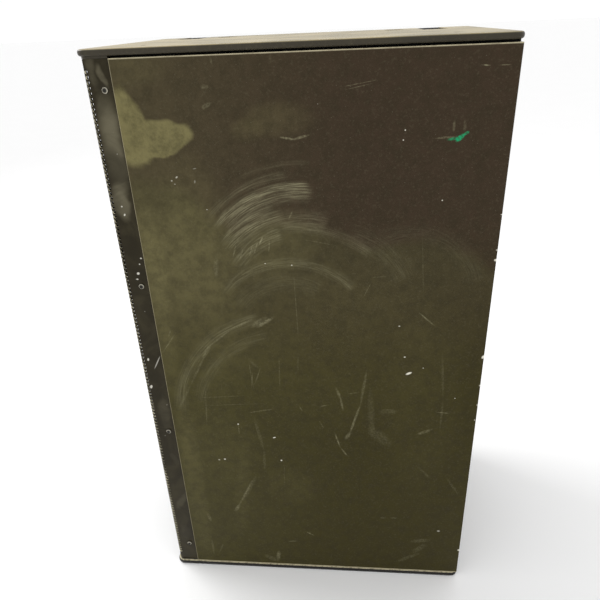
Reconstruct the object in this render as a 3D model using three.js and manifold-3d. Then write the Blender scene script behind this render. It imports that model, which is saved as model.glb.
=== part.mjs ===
// A two-way line array element: two 12-inch woofers and a central high-frequency waveguide in a plywood
// cabinet, stood on one end. The grille faces -X, the rear +X, the broad sides -Y and +Y, and +Z is up.
// Millimetres. The origin is the centre of the lower end cap's outer face.
import * as THREE from "three";
import { mergeVertices } from "three/addons/utils/BufferGeometryUtils.js";
import Module from "manifold-3d";

const wasm = await Module();
wasm.setup();

// ---- Driving dimensions ----
const HEIGHT = 1000; // over both end caps
const CAP = { depth: 582, width: 396, thick: 9, corner: 14, edge: 3.5 };
const CAP_FRONT_OVERHANG = 6; // beyond the grille
const CAP_REAR_OVERHANG = 2; // beyond the side panels
const CAP_PROUD = 3; // beyond the broad side panels
const LIP = { length: 37, depth: 3, inset: 4 }; // the cap's deeper front edge, down to the grille
const FIT = 0.3; // gap between neighbouring pieces
const BOARD = 15; // plywood of the panels
const END_BOARD = 18;

const FRONT = -CAP.depth / 2 + CAP_FRONT_OVERHANG; // outer face of the grille
const REAR = CAP.depth / 2 - CAP_REAR_OVERHANG; // rear edge of the side panels
const GRILLE_END = CAP.thick + LIP.depth + FIT; // from the outer plane, and the side panels' upper ends too
const SIDE = CAP.width / 2 - CAP_PROUD; // outer face of a side panel
const INNER = SIDE - BOARD; // inner face of a side panel
const PANEL_FRONT = FRONT + 10;
const END_INNER = CAP.thick + FIT + END_BOARD; // inner face of an end board, from the outer plane

const GRILLE = { sheet: 1.5, bend: 3.5, flange: 37, sunk: 1.5 };
const REBATE = { width: 38, depth: GRILLE.sunk + GRILLE.sheet + FIT };
const GRILLE_SCREW = { fromFront: 26, first: 60, pitch: 296, count: 4 };
const SCREW = { shank: 2, length: 14, head: 4.4, headHeight: 2.4, socket: 1.6, socketDepth: 1.4 };

const BAFFLE = FRONT + 42; // front face of the baffle
const BAFFLE_REAR = BAFFLE + BOARD;
const REAR_PANEL = { inner: REAR - 10 - BOARD, outer: REAR - 10 };
const WOOFER_Z = [190, HEIGHT - 190];
const WOOFER = { flange: 156, ring: 6, opening: 136, cutout: 142, cone: 121, coil: 37.5, basketDepth: 75 };
const PORT = { inner: 112, outer: 146, width: 320, board: 9, length: 170 }; // from the middle of the cabinet
const DIVIDER = 93; // inner face of a divider, from the middle of the cabinet
const HORN = { mouthZ: 162, mouthY: 312, throatZ: 30, throatY: 230, wall: 5, depth: 165, lip: 10 };
const DRIVER_Y = 80;

const HINGE = { y: 187.5, depth: 4, barrel: 3.8, pin: 2.5 };
const LINK = { width: 40, thick: 5, drop: 4.3, hole: 4.5, x: 215, pocket: 14.5 };
const LINK_REACH = { front: 88, rear: 118 };
const LINK_HOLES = { front: [70.5], rear: [52, 70.5, 89, 107.5] };
const RECEIVER_Y = -CAP.width / 2 + 60;
const LOCK_PIN = { x: 150, y: 130, shank: 4, length: 15, dish: 17, bore: 4.5 };

const HANDLE = { length: 170, width: 90, depth: 42, wall: 2.5, lip: 10, rim: 2.2, bar: 11 };
const HANDLE_Z = [190, HEIGHT - 190];
const PLATE = { length: 140, width: 120, thick: 3 };
const SOCKET = { pitch: 60, barrel: 12, recess: 10.3, recessDepth: 14, flange: 30 };

const CROSSOVER = [120, 0, HEIGHT / 2 - DIVIDER + FIT]; // middle of its board's underside
const CABLE = 2.5;
const CABLE_HOLE = { x: 60, y: 130, radius: 4 }; // through both dividers

const PLACES = [["front", -1], ["rear", 1]]; // of the links and lock pins in an end

const ROUND = 24; // sides of a large circle
const SMALL = 12; // sides of a small one

// ---- Materials ----
const finish = (color, roughness, metalness = 0) =>
  new THREE.MeshStandardMaterial({ color, roughness, metalness });
const MATERIAL = {
  panel: finish(0x4a4433, 0.55),
  cap: finish(0x55503e, 0.5, 0.2),
  grille: finish(0x35322a, 0.5, 0.4),
  steel: finish(0xb0aca0, 0.35, 1),
  plywood: finish(0x8c6b42, 0.8),
  frame: finish(0x202224, 0.5, 0.5),
  magnet: finish(0x3a3c40, 0.4, 0.8),
  paper: finish(0x1b1b1c, 0.9),
  rubber: finish(0x141414, 0.7),
  copper: finish(0xa9683a, 0.4, 0.9),
  plastic: finish(0x17181a, 0.6),
  socket: finish(0x1d2733, 0.45),
  circuit: finish(0x2d4a33, 0.6),
  link: finish(0x2b2b2b, 0.45, 0.8),
};

// ---- Solids ----
function solid(geometry) {
  const bare = geometry.index ? geometry.toNonIndexed() : geometry.clone();
  bare.deleteAttribute("normal");
  bare.deleteAttribute("uv");
  const merged = mergeVertices(bare, 1e-4);
  return new wasm.Manifold(
    new wasm.Mesh({
      numProp: 3,
      vertProperties: merged.attributes.position.array,
      triVerts: new Uint32Array(merged.index.array),
    }),
  );
}

function geometryOf(made) {
  const mesh = made.getMesh();
  const geometry = new THREE.BufferGeometry();
  geometry.setAttribute("position", new THREE.BufferAttribute(Float32Array.from(mesh.vertProperties), 3));
  geometry.setIndex(new THREE.BufferAttribute(Uint32Array.from(mesh.triVerts), 1));
  geometry.computeVertexNormals();
  return geometry;
}

// A box between two corners.
function block([x0, y0, z0], [x1, y1, z1]) {
  const box = new THREE.BoxGeometry(x1 - x0, y1 - y0, z1 - z0);
  return solid(box.translate((x0 + x1) / 2, (y0 + y1) / 2, (z0 + z1) / 2));
}

// A cylinder of radius r between two values along an axis, "x", "y" or "z", through the point at.
function rod(axis, r, from, to, at = [0, 0, 0], sides = SMALL) {
  const cylinder = new THREE.CylinderGeometry(r, r, to - from, sides).translate(0, (from + to) / 2, 0);
  if (axis === "x") cylinder.rotateZ(-Math.PI / 2);
  if (axis === "z") cylinder.rotateX(Math.PI / 2);
  return solid(cylinder.translate(...at));
}

// A body of revolution about the X axis. Points are [x, radius]; the outer side runs towards +x.
function turnedX(points, sides = ROUND) {
  const profile = points.map(([x, r]) => new THREE.Vector2(r, x));
  return solid(new THREE.LatheGeometry(profile, sides).rotateZ(-Math.PI / 2));
}

// The same about the Z axis, with points [z, radius].
function turnedZ(points, sides = SMALL) {
  const profile = points.map(([z, r]) => new THREE.Vector2(r, z));
  return solid(new THREE.LatheGeometry(profile, sides).rotateX(Math.PI / 2));
}

function roundedRectangle(width, height, radius) {
  const shape = new THREE.Shape();
  const [x, y] = [width / 2, height / 2];
  shape.moveTo(-x + radius, -y);
  shape.lineTo(x - radius, -y);
  shape.absarc(x - radius, -y + radius, radius, -Math.PI / 2, 0);
  shape.lineTo(x, y - radius);
  shape.absarc(x - radius, y - radius, radius, 0, Math.PI / 2);
  shape.lineTo(-x + radius, y);
  shape.absarc(-x + radius, y - radius, radius, Math.PI / 2, Math.PI);
  shape.lineTo(-x, -y + radius);
  shape.absarc(-x + radius, -y + radius, radius, Math.PI, 1.5 * Math.PI);
  return shape;
}

const minus = (body, ...cutters) => cutters.reduce((left, cutter) => left.subtract(cutter), body);
const plus = (body, ...others) => others.reduce((left, other) => left.add(other), body);

function mesh(name, shape, material, position = [0, 0, 0]) {
  const made = new THREE.Mesh(geometryOf(shape), material);
  made.name = name;
  made.position.set(...position);
  return made;
}

// ---- Cabinet ----
// The panel of one broad side; side is -1 for -Y and +1 for +Y. The grille's flange lies in its rebate.
function sidePanel(name, side) {
  const [low, high] = [CAP.thick + FIT, HEIGHT - GRILLE_END];
  const rebateEnd = FRONT + REBATE.width;
  const between = (a, b) => [Math.min(side * a, side * b), Math.max(side * a, side * b)];
  const [inner, outer] = between(INNER, SIDE);
  const [cutLow, cutHigh] = between(SIDE - REBATE.depth, SIDE + 1);
  const board = block([PANEL_FRONT, inner, low], [REAR, outer, high]);
  const rebate = block([PANEL_FRONT - 1, cutLow, low - 1], [rebateEnd, cutHigh, high + 1]);
  const lipEnd = FRONT + LIP.length + FIT;
  const lipRoom = block([PANEL_FRONT - 1, inner - 1, low - 1], [lipEnd, outer + 1, GRILLE_END]);
  const holes = screwHeights().map((z) =>
    rod("y", SCREW.shank + FIT, inner - 1, outer + 1, [FRONT + GRILLE_SCREW.fromFront, 0, z], 10),
  );
  const notches = side > 0 ? linkNotches() : [];
  return mesh(name, minus(board, rebate, lipRoom, ...holes, ...notches), MATERIAL.panel);
}

// Where the four link pockets run out over the ends of the far side panel.
function linkNotches() {
  return PLACES.flatMap(([, side]) => {
    const low = [side * LINK.x - LINK.width / 2 - 0.5, INNER - 1, -1];
    const high = [side * LINK.x + LINK.width / 2 + 0.5, SIDE + 1, LINK.pocket];
    const notch = block(low, high);
    return [notch, notch.translate([0, 0, HEIGHT - LINK.pocket + 1])];
  });
}

function screwHeights() {
  return Array.from({ length: GRILLE_SCREW.count }, (_, i) => GRILLE_SCREW.first + i * GRILLE_SCREW.pitch);
}

function rearPanel() {
  const { inner, outer } = REAR_PANEL;
  const half = INNER - FIT;
  const board = block([inner, -half, END_INNER + FIT], [outer, half, HEIGHT - END_INNER - FIT]);
  const pocket = (z, length, width) =>
    block([inner - 1, -width / 2, z - length / 2], [outer + 1, width / 2, z + length / 2]);
  const around = 2 * (HANDLE.wall + FIT);
  const handles = HANDLE_Z.map((z) => pocket(z, HANDLE.length + around, HANDLE.width + around));
  const plate = pocket(HEIGHT / 2, PLATE.length - 24, PLATE.width - 24);
  return mesh("rear_panel", minus(board, plate, ...handles), MATERIAL.panel);
}

function frontBaffle() {
  const half = INNER - FIT;
  const board = block([BAFFLE, -half, END_INNER + FIT], [BAFFLE_REAR, half, HEIGHT - END_INNER - FIT]);
  const window = (halfY, low, high) => block([BAFFLE - 1, -halfY, low], [BAFFLE_REAR + 1, halfY, high]);
  const middle = HEIGHT / 2;
  const cutouts = WOOFER_Z.map((z) => rod("x", WOOFER.cutout, BAFFLE - 1, BAFFLE_REAR + 1, [0, 0, z], ROUND));
  const hornHalfZ = HORN.mouthZ / 2 + HORN.wall + 1;
  const horn = window(HORN.mouthY / 2 + HORN.wall + 1, middle - hornHalfZ, middle + hornHalfZ);
  const ports = [-1, 1].map((s) => {
    const edges = [middle + s * PORT.inner, middle + s * PORT.outer];
    return window(PORT.width / 2, Math.min(...edges), Math.max(...edges));
  });
  return mesh("front_baffle", minus(board, horn, ...cutouts, ...ports), MATERIAL.plywood);
}

// The boards that wall off the waveguide's chamber, and the shorter ones that make the port ducts.
function innerBoards() {
  const half = INNER - FIT;
  const cableHole = rod("z", CABLE_HOLE.radius, 0, HEIGHT, [CABLE_HOLE.x, CABLE_HOLE.y, 0], 12);
  const shelf = (name, near, thick, rear, side) => {
    const edges = [HEIGHT / 2 + side * near, HEIGHT / 2 + side * (near + thick)];
    const low = [BAFFLE_REAR + FIT, -half, Math.min(...edges)];
    const board = block(low, [rear, half, Math.max(...edges)]);
    return mesh(name, minus(board, cableHole), MATERIAL.plywood);
  };
  return [["upper", 1], ["lower", -1]].flatMap(([place, side]) => [
    shelf(`chamber_divider_${place}`, DIVIDER, BOARD, REAR_PANEL.inner - FIT, side),
    shelf(`port_board_${place}`, PORT.outer + 1, PORT.board, BAFFLE_REAR + PORT.length, side),
  ]);
}

// ---- Grille ----
function frontGrille() {
  const { sheet, bend, flange, sunk } = GRILLE;
  const y = SIDE - sunk;
  const end = FRONT + flange;
  const section = new THREE.Shape();
  section.moveTo(end, -y);
  section.lineTo(end, -y + sheet);
  section.lineTo(FRONT + bend, -y + sheet);
  section.absarc(FRONT + bend, -y + bend, bend - sheet, 1.5 * Math.PI, Math.PI, true);
  section.lineTo(FRONT + sheet, y - bend);
  section.absarc(FRONT + bend, y - bend, bend - sheet, Math.PI, Math.PI / 2, true);
  section.lineTo(end, y - sheet);
  section.lineTo(end, y);
  section.lineTo(FRONT + bend, y);
  section.absarc(FRONT + bend, y - bend, bend, Math.PI / 2, Math.PI);
  section.lineTo(FRONT, -y + bend);
  section.absarc(FRONT + bend, -y + bend, bend, Math.PI, 1.5 * Math.PI);
  section.closePath();
  const length = HEIGHT - 2 * GRILLE_END;
  const bent = new THREE.ExtrudeGeometry(section, { depth: length, bevelEnabled: false, curveSegments: 4 });
  const folded = solid(bent.translate(0, 0, GRILLE_END));
  const holes = screwHeights().map((z) =>
    rod("y", SCREW.shank + FIT, -SIDE - 1, SIDE + 1, [FRONT + GRILLE_SCREW.fromFront, 0, z], 10),
  );
  return mesh("front_grille", minus(folded, ...holes), MATERIAL.grille);
}

// A pan-head screw with a hexagon socket, its axis along +Z and its head's seat at the origin.
function screwShape() {
  const { shank, length, head, headHeight, socket, socketDepth } = SCREW;
  const profile = [
    [-length, 0], [-length, shank], [0, shank], [0, head],
    [headHeight * 0.6, head], [headHeight, head * 0.7], [headHeight, 0],
  ];
  return minus(turnedZ(profile, 12), rod("z", socket, headHeight - socketDepth, headHeight + 1, [0, 0, 0], 6));
}

function grilleScrews() {
  const shape = screwShape();
  return [["near", -1], ["far", 1]].flatMap(([place, side]) =>
    screwHeights().map((z, i) => {
      const seat = side * (SIDE - GRILLE.sunk + FIT);
      const at = [FRONT + GRILLE_SCREW.fromFront, seat, z];
      const screw = mesh(`grille_screw_${place}_${i + 1}`, shape, MATERIAL.steel, at);
      screw.rotation.x = -side * Math.PI / 2;
      return screw;
    }),
  );
}

// ---- Woofers, built with the baffle's front face at x = 0 and the axis along X ----
function wooferFrame() {
  const { flange, ring, opening, cutout, basketDepth } = WOOFER;
  const shell = turnedX([
    [-ring, opening], [-ring, flange], [-FIT, flange], [-FIT, cutout - 0.5], [2, cutout - 0.5],
    [basketDepth, 78], [basketDepth + 5, 78], [basketDepth + 5, 44], [basketDepth, 44], [basketDepth, 72],
    [0, opening], [-ring, opening],
  ]);
  const windows = Array.from({ length: 6 }, (_, i) => {
    const cutter = new THREE.BoxGeometry(42, 56, 60).translate(basketDepth * 0.52, 0, 108);
    return solid(cutter.rotateX((i * Math.PI) / 3));
  });
  return minus(shell, ...windows);
}

// Top plate, magnet, back plate and pole, with the annular gap that the voice coil moves in.
function wooferMotor() {
  const start = WOOFER.basketDepth + 5 + FIT;
  const { coil } = WOOFER;
  return turnedX([
    [start, 0], [start, coil - 2.5], [start + 38, coil - 2.5], [start + 38, coil + 2.5], [start, coil + 2.5],
    [start, 80], [start + 9, 80], [start + 9, 86], [start + 38, 86], [start + 38, 80], [start + 47, 74],
    [start + 47, 0],
  ]);
}

function wooferCone() {
  const { ring, cone, coil } = WOOFER;
  const neck = coil + 1 + FIT;
  const rim = [-ring + 2.2, cone];
  return turnedX([rim, [28, 84.5], [55.5, neck], [53, neck], [25, 84], [-ring, cone], rim]);
}

// The half-roll that joins the cone's rim to the frame's ring.
function wooferSurround() {
  const { ring, cone, opening } = WOOFER;
  const seat = -ring - FIT;
  const front = seat - 1.5;
  const middle = (cone + opening) / 2;
  const roll = (opening - cone) / 2;
  const arc = (r, turns) =>
    turns.map((t) => [seat - r * Math.sin(t * Math.PI), middle - r * Math.cos(t * Math.PI)]);
  return turnedX([
    [seat, cone - 5], [front, cone - 5], ...arc(roll + 1, [0.06, 0.35, 0.65, 0.94]), [front, opening + 5],
    [seat, opening + 5], ...arc(roll - 0.5, [1, 0.5, 0]), [seat, cone - 5],
  ]);
}

// The corrugated disc that centres the coil.
function wooferSpider() {
  const inner = WOOFER.coil + 1 + FIT;
  const outer = 78;
  const waves = 4;
  const edge = (side) =>
    Array.from({ length: waves + 1 }, (_, i) => {
      const height = i === 0 || i === waves ? 0 : 1.6 * (i % 2 ? 1 : -1);
      return [64 + height + side * 0.5, inner + ((outer - inner) * i) / waves];
    });
  const front = edge(-1);
  return turnedX([...front, ...edge(1).reverse(), front[0]]);
}

function wooferDustCap() {
  return turnedX([
    [30, 0], [32, 22], [37.5, 40], [44.2, 50], [45.6, 50], [39, 39.6], [33.4, 21.6], [31.4, 0],
  ]);
}

function wooferCoil() {
  const { coil } = WOOFER;
  const [front, rear] = [50, 106];
  return turnedX([[front, coil - 1], [front, coil + 1], [rear, coil + 1], [rear, coil - 1], [front, coil - 1]]);
}

function woofer(place, z) {
  const group = new THREE.Group();
  group.position.set(BAFFLE, 0, z);
  const add = (name, shape, material) => group.add(mesh(`woofer_${name}_${place}`, shape, material));
  add("frame", wooferFrame(), MATERIAL.frame);
  add("motor", wooferMotor(), MATERIAL.magnet);
  add("cone", wooferCone(), MATERIAL.paper);
  add("dust_cap", wooferDustCap(), MATERIAL.paper);
  add("voice_coil", wooferCoil(), MATERIAL.copper);
  add("surround", wooferSurround(), MATERIAL.rubber);
  add("spider", wooferSpider(), MATERIAL.paper);
  return group;
}

// ---- High frequencies ----
// A straight-sided hollow, mouth to throat, that is grown outwards by a margin.
function taper(margin, extra) {
  const { mouthZ, mouthY, throatZ, throatY, depth } = HORN;
  const frame = new THREE.BoxGeometry(depth + 2 * extra, 1, 1).translate(depth / 2, 0, 0);
  const position = frame.attributes.position;
  for (let i = 0; i < position.count; i++) {
    const t = position.getX(i) > depth / 2 ? 1 : 0;
    position.setY(i, position.getY(i) * (mouthY + (throatY - mouthY) * t + 2 * margin));
    position.setZ(i, position.getZ(i) * (mouthZ + (throatZ - mouthZ) * t + 2 * margin));
  }
  return solid(frame);
}

function waveguide() {
  const { wall, mouthY, mouthZ, lip } = HORN;
  const half = [mouthY / 2 + wall + lip, mouthZ / 2 + wall + lip];
  const flange = block([-6, -half[0], -half[1]], [-FIT, half[0], half[1]]);
  const shell = taper(wall, 1);
  return mesh("waveguide", minus(plus(flange, shell), taper(0, 7)), MATERIAL.plastic, [BAFFLE, 0, HEIGHT / 2]);
}

function highFrequency() {
  const throat = BAFFLE + HORN.depth + 1;
  const plateThick = 10;
  const bores = [-1, 1].map((s) => rod("x", 16, -1, plateThick + 1, [0, s * DRIVER_Y, 0], SMALL));
  const blank = block([0, -HORN.throatY / 2 - 12, -30], [plateThick, HORN.throatY / 2 + 12, 30]);
  const plate = mesh("throat_plate", minus(blank, ...bores), MATERIAL.frame, [throat + FIT, 0, HEIGHT / 2]);
  const profile = [
    [30, 0], [30, 16], [0, 16], [0, 42], [8, 42], [8, 62], [40, 62], [46, 50], [62, 46], [62, 0],
  ];
  const seat = throat + plateThick + 2 * FIT;
  const driver = turnedX(profile, 24);
  const drivers = [["left", -1], ["right", 1]].map(([place, s]) =>
    mesh(`compression_driver_${place}`, driver, MATERIAL.magnet, [seat, s * DRIVER_Y, HEIGHT / 2]),
  );
  return [waveguide(), plate, ...drivers];
}

// ---- Rear: handles, connectors and crossover ----
function rearHandle(place, z) {
  const { length, width, depth, wall, lip, rim, bar } = HANDLE;
  const group = new THREE.Group();
  group.position.set(REAR_PANEL.outer, 0, z);
  const slab = (from, to, margin) =>
    block([from, -width / 2 - margin, -length / 2 - margin], [to, width / 2 + margin, length / 2 + margin]);
  const cup = plus(slab(-depth - wall, FIT + 1, wall), slab(FIT, FIT + rim, lip));
  const grip = rod("z", bar, -length / 2 + FIT, length / 2 - FIT, [-bar, 0, 0], SMALL);
  group.add(mesh(`handle_cup_${place}`, minus(cup, slab(-depth, 2 * rim, 0)), MATERIAL.plastic));
  group.add(mesh(`handle_bar_${place}`, grip, MATERIAL.rubber));
  return group;
}

function connectors() {
  const group = new THREE.Group();
  group.position.set(REAR_PANEL.outer + FIT, 0, HEIGHT / 2);
  const { length, width, thick } = PLATE;
  const { pitch, barrel, recess, recessDepth, flange } = SOCKET;
  const places = [["upper", pitch / 2], ["lower", -pitch / 2]];
  const holes = places.map(([, z]) => rod("x", barrel + FIT, -1, thick + 1, [0, 0, z], 24));
  const blank = new THREE.ExtrudeGeometry(roundedRectangle(length, width, 6), {
    depth: thick, bevelEnabled: false, curveSegments: 3,
  }).rotateY(Math.PI / 2);
  group.add(mesh("connector_plate", minus(solid(blank), ...holes), MATERIAL.cap));
  for (const [place, z] of places) {
    const face = thick + FIT;
    const tube = rod("x", barrel, -28, face + 1, [0, 0, 0], 24);
    const front = block([face, -flange / 2, -flange / 2], [face + 4, flange / 2, flange / 2]);
    const mouth = rod("x", recess, face + 4 - recessDepth, face + 6, [0, 0, 0], 24);
    group.add(mesh(`speaker_socket_${place}`, minus(plus(tube, front), mouth), MATERIAL.socket, [0, 0, z]));
  }
  return group;
}

// The crossover lies on the lower divider: three coils, four capacitors and a block of terminals on a board.
function crossover() {
  const board = block([-80, -70, 0], [80, 70, 2]);
  const coils = [[-50, -40], [0, -40], [50, -40]].map(([x, y]) =>
    rod("z", 20, 1, 24, [x, y, 0], 20).subtract(rod("z", 7, 4, 30, [x, y, 0], 10)),
  );
  const capacitors = [-55, -32, -9, 14].map((x) => rod("y", 9, 8, 52, [x, 0, 9], 12));
  const terminals = block([40, 20, 1], [66, 60, 12]);
  const made = plus(board, ...coils, ...capacitors, terminals);
  return mesh("crossover_board", made, MATERIAL.circuit, CROSSOVER);
}

// A cable along a smooth curve through the points.
function cable(points, radius = CABLE) {
  const curve = new THREE.CatmullRomCurve3(points.map((point) => new THREE.Vector3(...point)));
  const circle = new THREE.Shape().absarc(0, 0, radius, 0, 2 * Math.PI);
  const steps = 3 * (points.length - 1);
  return solid(new THREE.ExtrudeGeometry(circle, { steps, extrudePath: curve, curveSegments: 3 }));
}

// One loom from the crossover's terminals to the sockets, the woofers and the compression drivers.
function wiring() {
  const [x, y, z] = [CROSSOVER[0] + 53, CROSSOVER[1] + 40, CROSSOVER[2] + 12 + FIT];
  const knot = block([x - 12, y - 18, z], [x + 12, y + 18, z + 8]);
  const start = (dx, dy) => [x + dx, y + dy, z + 4];
  const socketRear = REAR_PANEL.outer - 28 - 1;
  const toSocket = (side) => {
    const height = HEIGHT / 2 + (side * SOCKET.pitch) / 2;
    return [start(8, 0), [x + 26, y, z + 14], [socketRear - 12, 0, height], [socketRear, 0, height]];
  };
  const driverRear = BAFFLE + HORN.depth + 10 + 2 * FIT + 62 + 2;
  const toDriver = (side) => [
    start(-8, 6 * side), [x - 40, y * 0.6 + side * 14, z + 30], [driverRear + 20, side * DRIVER_Y, HEIGHT / 2],
    [driverRear, side * DRIVER_Y, HEIGHT / 2],
  ];
  const motorRear = BAFFLE + WOOFER.basketDepth + 5 + FIT + 47 + FIT;
  const toWoofer = (side, height) => [
    start(0, 14), [CABLE_HOLE.x, CABLE_HOLE.y, z + 14 + 10 * side],
    [CABLE_HOLE.x, CABLE_HOLE.y, HEIGHT / 2 + side * (DIVIDER + BOARD / 2)],
    [CABLE_HOLE.x, CABLE_HOLE.y, HEIGHT / 2 + side * (DIVIDER + BOARD + 25)],
    [motorRear + 30, 20, height - side * 30], [motorRear + 20, 0, height], [motorRear + 1, 0, height],
  ];
  const cables = [
    toSocket(-1), toSocket(1), toDriver(-1), toDriver(1), toWoofer(-1, WOOFER_Z[0]), toWoofer(1, WOOFER_Z[1]),
  ];
  return mesh("internal_wiring", plus(knot, ...cables.map((points) => cable(points))), MATERIAL.rubber);
}

// ---- Ends: cap, board and rigging, built with the outer face at z = 0 and the cabinet below ----
function linkPocket(place, side, from) {
  const half = LINK.width / 2 + 0.5;
  const x = side * LINK.x;
  return block([x - half, HINGE.y - LINK_REACH[place] - 4, -LINK.pocket], [x + half, CAP.width / 2 + 1, from]);
}

function capOutline(inset) {
  return roundedRectangle(CAP.depth - 2 * inset, CAP.width - 2 * inset, CAP.corner - inset);
}

function endCap(end) {
  const { thick, edge } = CAP;
  const plate = solid(new THREE.ExtrudeGeometry(capOutline(0), {
    depth: thick - 2 * edge, bevelThickness: edge, bevelSize: edge, bevelOffset: -edge, bevelSegments: 3,
    curveSegments: 4,
  }).translate(0, 0, edge - thick));
  const lipSlab = solid(new THREE.ExtrudeGeometry(capOutline(LIP.inset), {
    depth: LIP.depth + 1, bevelEnabled: false, curveSegments: 4,
  }).translate(0, 0, -thick - LIP.depth));
  const lip = lipSlab.intersect(block([-CAP.depth, -CAP.width, -50], [FRONT + LIP.length, CAP.width, 0]));
  const cutters = PLACES.flatMap(([place, side]) => [
    linkPocket(place, side, 1),
    rod("x", HINGE.pin + FIT, side * LINK.x - 33, side * LINK.x + 33, [0, HINGE.y, -HINGE.depth], 12),
    rod("z", LOCK_PIN.dish, -thick - 1, 1, [side * LOCK_PIN.x, LOCK_PIN.y, 0], 24),
    rod("z", LOCK_PIN.bore, -thick - 1, 1, [side * LINK.x, RECEIVER_Y, 0], 12),
  ]);
  return mesh(`end_cap_${end}`, minus(plus(plate, lip), ...cutters), MATERIAL.cap);
}

function endBoard(end) {
  const top = -CAP.thick - FIT;
  const half = INNER - FIT;
  const board = block([FRONT + LIP.length + FIT, -half, top - END_BOARD], [REAR, half, top]);
  const cutters = PLACES.flatMap(([place, side]) => [
    linkPocket(place, side, top + 1),
    rod("z", LOCK_PIN.bore, top - LOCK_PIN.length - 1, top + 1, [side * LOCK_PIN.x, LOCK_PIN.y, 0], 12),
    rod("z", LOCK_PIN.bore, top - LOCK_PIN.length + 3, top + 1, [side * LINK.x, RECEIVER_Y, 0], 12),
  ]);
  return mesh(`end_board_${end}`, minus(board, ...cutters), MATERIAL.plywood);
}

// A flip-over link: a barrel on the hinge axis, which is X through the origin, and a plate below it.
function linkShape(place) {
  const { width, thick, drop, hole } = LINK;
  const reach = LINK_REACH[place];
  const [low, high] = [-drop - thick, -drop];
  const plate = block([-width / 2, -reach, low], [width / 2, HINGE.barrel, high]);
  const web = block([-width / 2, -HINGE.barrel, low], [width / 2, HINGE.barrel, 0]);
  const barrel = rod("x", HINGE.barrel, -width / 2, width / 2);
  const corners = [-1, 1].map((side) => {
    const cutter = new THREE.BoxGeometry(20, 20, 30).rotateZ(Math.PI / 4);
    return solid(cutter.translate((side * width) / 2, -reach, low));
  });
  const holes = LINK_HOLES[place].map((y) => rod("z", hole, low - 1, high + 1, [0, -y, 0], 12));
  const bore = rod("x", HINGE.pin + FIT, -width, width, [0, 0, 0], 12);
  return minus(plus(plate, web, barrel), bore, ...corners, ...holes);
}

// A quick-release pin: a plain shank, a broad finger flange and a knob. Its flange rests at the origin.
function lockPinShape() {
  const { shank, length } = LOCK_PIN;
  return turnedZ([
    [-length, 0], [-length, shank - 1.2], [-length + 1.5, shank], [0, shank], [0, 12], [2.2, 12], [2.2, 6.5],
    [7.6, 6.5], [8.4, 5.5], [8.4, 0],
  ]);
}

// The lower end is the upper end mirrored, so that all four links reach out to the same side.
function endAssembly(end, z, mirror) {
  const group = new THREE.Group();
  group.position.z = z;
  group.scale.z = mirror;
  group.add(endCap(end), endBoard(end));
  const lockPin = lockPinShape();
  const axle = rod("x", HINGE.pin, -32, 32, [0, 0, 0], 12);
  for (const [place, side] of PLACES) {
    const hinge = [side * LINK.x, HINGE.y, -HINGE.depth];
    const parked = [side * LOCK_PIN.x, LOCK_PIN.y, -CAP.thick];
    group.add(mesh(`link_${end}_${place}`, linkShape(place), MATERIAL.link, hinge));
    group.add(mesh(`link_axle_${end}_${place}`, axle, MATERIAL.steel, hinge));
    group.add(mesh(`lock_pin_${end}_${place}`, lockPin, MATERIAL.steel, parked));
  }
  return group;
}

// ---- Assembly ----
const speaker = new THREE.Group();
speaker.add(sidePanel("side_panel_near", -1), sidePanel("side_panel_far", 1), rearPanel());
speaker.add(frontBaffle(), ...innerBoards(), frontGrille(), ...grilleScrews());
speaker.add(woofer("lower", WOOFER_Z[0]), woofer("upper", WOOFER_Z[1]), ...highFrequency());
speaker.add(rearHandle("lower", HANDLE_Z[0]), rearHandle("upper", HANDLE_Z[1]));
speaker.add(connectors(), crossover(), wiring());
speaker.add(endAssembly("top", HEIGHT, 1), endAssembly("bottom", 0, -1));

export default speaker;
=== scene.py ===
"""A line array speaker standing on one end: its looks, floor, light and camera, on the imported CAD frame.

Metres, in the frame's axes: the grille faces -X, the broad side panels face -Y and +Y, +Z is up.
"""
import math

import bpy
from mathutils import Matrix, Vector


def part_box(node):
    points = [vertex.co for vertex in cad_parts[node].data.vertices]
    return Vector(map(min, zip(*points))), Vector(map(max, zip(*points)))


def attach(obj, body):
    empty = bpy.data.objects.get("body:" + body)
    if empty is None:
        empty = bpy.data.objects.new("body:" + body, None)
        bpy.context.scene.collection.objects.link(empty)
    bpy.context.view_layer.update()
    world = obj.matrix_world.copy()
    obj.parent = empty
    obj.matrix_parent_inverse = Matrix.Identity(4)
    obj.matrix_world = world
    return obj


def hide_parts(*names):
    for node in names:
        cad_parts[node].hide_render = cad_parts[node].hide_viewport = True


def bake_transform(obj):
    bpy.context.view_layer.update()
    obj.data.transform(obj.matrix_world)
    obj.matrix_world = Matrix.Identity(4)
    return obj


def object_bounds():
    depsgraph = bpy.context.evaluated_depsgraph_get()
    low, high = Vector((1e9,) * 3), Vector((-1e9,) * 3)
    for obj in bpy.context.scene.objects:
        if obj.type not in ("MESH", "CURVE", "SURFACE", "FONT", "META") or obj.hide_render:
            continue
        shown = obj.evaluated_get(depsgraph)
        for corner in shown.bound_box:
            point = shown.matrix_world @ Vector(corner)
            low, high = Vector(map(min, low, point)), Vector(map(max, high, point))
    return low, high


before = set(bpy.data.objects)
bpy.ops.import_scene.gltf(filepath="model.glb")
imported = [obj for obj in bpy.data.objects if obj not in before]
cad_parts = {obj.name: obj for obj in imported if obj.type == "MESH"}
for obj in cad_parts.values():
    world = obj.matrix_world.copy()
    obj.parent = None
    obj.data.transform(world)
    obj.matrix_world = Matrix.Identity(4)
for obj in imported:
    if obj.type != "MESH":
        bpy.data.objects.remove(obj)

CAD_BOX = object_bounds()
CABINET = "cabinet"

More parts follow.
